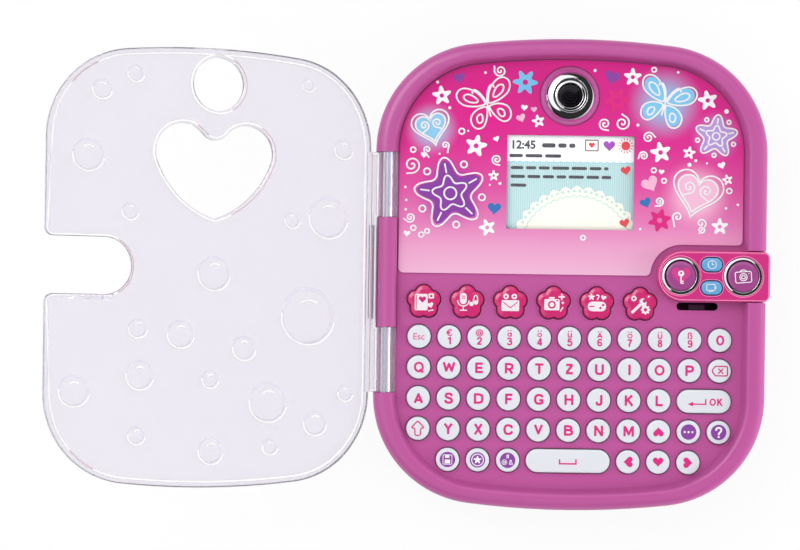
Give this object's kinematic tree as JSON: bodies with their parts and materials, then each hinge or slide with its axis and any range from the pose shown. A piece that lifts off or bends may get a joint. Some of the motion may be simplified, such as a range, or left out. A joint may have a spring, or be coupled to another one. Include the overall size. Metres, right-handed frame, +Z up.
{
  "type": "electronic secret diary",
  "caption": "Hand-held electronic diary: pink keyboard case with a screen, camera and button pod under a clear side-hinged lid with a heart window and a latch.",
  "frame": {"origin": "middle of the case's flat base", "axes": "+Y to the camera end of the case, +Z up out of the keys, the hinge runs along Y on the -X side and the open lid reaches out along -X"},
  "size_m": [0.274, 0.183, 0.0871],
  "materials": {
    "pink_case": "semi-gloss orchid pink plastic",
    "printed_panel": "glossy printed panel, magenta to pale pink",
    "clear_window": "clear polished plastic",
    "display": "lit colour display",
    "chrome": "bright chrome-plated plastic",
    "dark_lens": "dark polished lens",
    "black_plastic": "matte black",
    "circuit_board": "green circuit board",
    "silicone": "matte silicone",
    "magenta_pod": "glossy magenta plastic",
    "battery_cells": "bare cell sleeve, satin",
    "steel": "plain steel",
    "clear_lid": "clear moulded plastic",
    "grey_plastic": "dark moulded plastic",
    "white_keys": "satin white",
    "flower_buttons": "glossy translucent magenta",
    "purple_buttons": "glossy purple",
    "blue_buttons": "glossy light blue"
  },
  "bodies": {
    "case": {"front_shell": "pink_case", "rear_shell": "pink_case", "printed_panel": "printed_panel", "screen_window": "clear_window", "display_module": "display", "camera_bezel": "chrome", "camera_lens": "dark_lens", "camera_module": "black_plastic", "main_board": "circuit_board", "keypad_membrane": "silicone", "button_pod": "magenta_pod", "unlock_ring": "chrome", "shutter_ring": "chrome", "speaker": "black_plastic", "microphone": "black_plastic", "battery_door": "pink_case", "batteries": "battery_cells", "battery_contacts": "steel", "latch_solenoid": "steel", "hinge_rod": "steel", "case_screws": "steel", "door_screw": "steel"},
    "lid_body": {"lid": "clear_lid"},
    "latch_body": {"latch_bolt": "grey_plastic"},
    "escape_key_body": {"escape_key": "white_keys"},
    "delete_key_body": {"delete_key": "white_keys"},
    "shift_key_body": {"shift_key": "white_keys"},
    "up_key_body": {"up_key": "white_keys"},
    "more_key_body": {"more_key": "white_keys"},
    "help_key_body": {"help_key": "white_keys"},
    "save_key_body": {"save_key": "white_keys"},
    "faces_key_body": {"faces_key": "white_keys"},
    "signs_key_body": {"signs_key": "white_keys"},
    "left_key_body": {"left_key": "white_keys"},
    "down_key_body": {"down_key": "white_keys"},
    "right_key_body": {"right_key": "white_keys"},
    "digit_keys_body": {"digit_keys": "white_keys"},
    "upper_letter_keys_body": {"upper_letter_keys": "white_keys"},
    "home_letter_keys_body": {"home_letter_keys": "white_keys"},
    "lower_letter_keys_body": {"lower_letter_keys": "white_keys"},
    "enter_key_body": {"enter_key": "white_keys"},
    "space_key_body": {"space_key": "white_keys"},
    "diary_button_body": {"diary_button": "flower_buttons"},
    "voice_button_body": {"voice_button": "flower_buttons"},
    "contacts_button_body": {"contacts_button": "flower_buttons"},
    "photos_button_body": {"photos_button": "flower_buttons"},
    "games_button_body": {"games_button": "flower_buttons"},
    "tools_button_body": {"tools_button": "flower_buttons"},
    "unlock_button_body": {"unlock_button": "purple_buttons"},
    "shutter_button_body": {"shutter_button": "purple_buttons"},
    "clock_button_body": {"clock_button": "blue_buttons"},
    "gallery_button_body": {"gallery_button": "blue_buttons"}
  },
  "joints": [
    {"name": "lid_hinge", "type": "hinge", "parent": "case", "child": "lid_body", "pos_m": [-0.071, 0, 0.0274], "axis": [0, 1, 0], "range_deg": [0, 155.5]},
    {"name": "latch_slide", "type": "slide", "parent": "case", "child": "latch_body", "axis": [0, -1, 0], "range_m": [0, 0.0028], "stiffness_N_per_m": 200, "springref_m": -0.002},
    {"name": "escape_key_press", "type": "slide", "parent": "case", "child": "escape_key_body", "axis": [0, 0, -1], "range_m": [0, 0.0009], "stiffness_N_per_m": 150, "springref_m": -0.002},
    {"name": "delete_key_press", "type": "slide", "parent": "case", "child": "delete_key_body", "axis": [0, 0, -1], "range_m": [0, 0.0009], "stiffness_N_per_m": 150, "springref_m": -0.002},
    {"name": "shift_key_press", "type": "slide", "parent": "case", "child": "shift_key_body", "axis": [0, 0, -1], "range_m": [0, 0.0009], "stiffness_N_per_m": 150, "springref_m": -0.002},
    {"name": "up_key_press", "type": "slide", "parent": "case", "child": "up_key_body", "axis": [0, 0, -1], "range_m": [0, 0.0009], "stiffness_N_per_m": 150, "springref_m": -0.002},
    {"name": "more_key_press", "type": "slide", "parent": "case", "child": "more_key_body", "axis": [0, 0, -1], "range_m": [0, 0.0009], "stiffness_N_per_m": 150, "springref_m": -0.002},
    {"name": "help_key_press", "type": "slide", "parent": "case", "child": "help_key_body", "axis": [0, 0, -1], "range_m": [0, 0.0009], "stiffness_N_per_m": 150, "springref_m": -0.002},
    {"name": "save_key_press", "type": "slide", "parent": "case", "child": "save_key_body", "axis": [0, 0, -1], "range_m": [0, 0.0009], "stiffness_N_per_m": 150, "springref_m": -0.002},
    {"name": "faces_key_press", "type": "slide", "parent": "case", "child": "faces_key_body", "axis": [0, 0, -1], "range_m": [0, 0.0009], "stiffness_N_per_m": 150, "springref_m": -0.002},
    {"name": "signs_key_press", "type": "slide", "parent": "case", "child": "signs_key_body", "axis": [0, 0, -1], "range_m": [0, 0.0009], "stiffness_N_per_m": 150, "springref_m": -0.002},
    {"name": "left_key_press", "type": "slide", "parent": "case", "child": "left_key_body", "axis": [0, 0, -1], "range_m": [0, 0.0009], "stiffness_N_per_m": 150, "springref_m": -0.002},
    {"name": "down_key_press", "type": "slide", "parent": "case", "child": "down_key_body", "axis": [0, 0, -1], "range_m": [0, 0.0009], "stiffness_N_per_m": 150, "springref_m": -0.002},
    {"name": "right_key_press", "type": "slide", "parent": "case", "child": "right_key_body", "axis": [0, 0, -1], "range_m": [0, 0.0009], "stiffness_N_per_m": 150, "springref_m": -0.002},
    {"name": "digit_keys_press", "type": "slide", "parent": "case", "child": "digit_keys_body", "axis": [0, 0, -1], "range_m": [0, 0.0009], "stiffness_N_per_m": 150, "springref_m": -0.002},
    {"name": "upper_letter_keys_press", "type": "slide", "parent": "case", "child": "upper_letter_keys_body", "axis": [0, 0, -1], "range_m": [0, 0.0009], "stiffness_N_per_m": 150, "springref_m": -0.002},
    {"name": "home_letter_keys_press", "type": "slide", "parent": "case", "child": "home_letter_keys_body", "axis": [0, 0, -1], "range_m": [0, 0.0009], "stiffness_N_per_m": 150, "springref_m": -0.002},
    {"name": "lower_letter_keys_press", "type": "slide", "parent": "case", "child": "lower_letter_keys_body", "axis": [0, 0, -1], "range_m": [0, 0.0009], "stiffness_N_per_m": 150, "springref_m": -0.002},
    {"name": "enter_key_press", "type": "slide", "parent": "case", "child": "enter_key_body", "axis": [0, 0, -1], "range_m": [0, 0.0009], "stiffness_N_per_m": 150, "springref_m": -0.002},
    {"name": "space_key_press", "type": "slide", "parent": "case", "child": "space_key_body", "axis": [0, 0, -1], "range_m": [0, 0.0009], "stiffness_N_per_m": 150, "springref_m": -0.002},
    {"name": "diary_button_press", "type": "slide", "parent": "case", "child": "diary_button_body", "axis": [0, 0, -1], "range_m": [0, 0.0009], "stiffness_N_per_m": 150, "springref_m": -0.002},
    {"name": "voice_button_press", "type": "slide", "parent": "case", "child": "voice_button_body", "axis": [0, 0, -1], "range_m": [0, 0.0009], "stiffness_N_per_m": 150, "springref_m": -0.002},
    {"name": "contacts_button_press", "type": "slide", "parent": "case", "child": "contacts_button_body", "axis": [0, 0, -1], "range_m": [0, 0.0009], "stiffness_N_per_m": 150, "springref_m": -0.002},
    {"name": "photos_button_press", "type": "slide", "parent": "case", "child": "photos_button_body", "axis": [0, 0, -1], "range_m": [0, 0.0009], "stiffness_N_per_m": 150, "springref_m": -0.002},
    {"name": "games_button_press", "type": "slide", "parent": "case", "child": "games_button_body", "axis": [0, 0, -1], "range_m": [0, 0.0009], "stiffness_N_per_m": 150, "springref_m": -0.002},
    {"name": "tools_button_press", "type": "slide", "parent": "case", "child": "tools_button_body", "axis": [0, 0, -1], "range_m": [0, 0.0009], "stiffness_N_per_m": 150, "springref_m": -0.002},
    {"name": "unlock_button_press", "type": "slide", "parent": "case", "child": "unlock_button_body", "axis": [0, 0, -1], "range_m": [0, 0.0009], "stiffness_N_per_m": 150, "springref_m": -0.002},
    {"name": "shutter_button_press", "type": "slide", "parent": "case", "child": "shutter_button_body", "axis": [0, 0, -1], "range_m": [0, 0.0009], "stiffness_N_per_m": 150, "springref_m": -0.002},
    {"name": "clock_button_press", "type": "slide", "parent": "case", "child": "clock_button_body", "axis": [0, 0, -1], "range_m": [0, 0.0009], "stiffness_N_per_m": 150, "springref_m": -0.002},
    {"name": "gallery_button_press", "type": "slide", "parent": "case", "child": "gallery_button_body", "axis": [0, 0, -1], "range_m": [0, 0.0009], "stiffness_N_per_m": 150, "springref_m": -0.002}
  ]
}
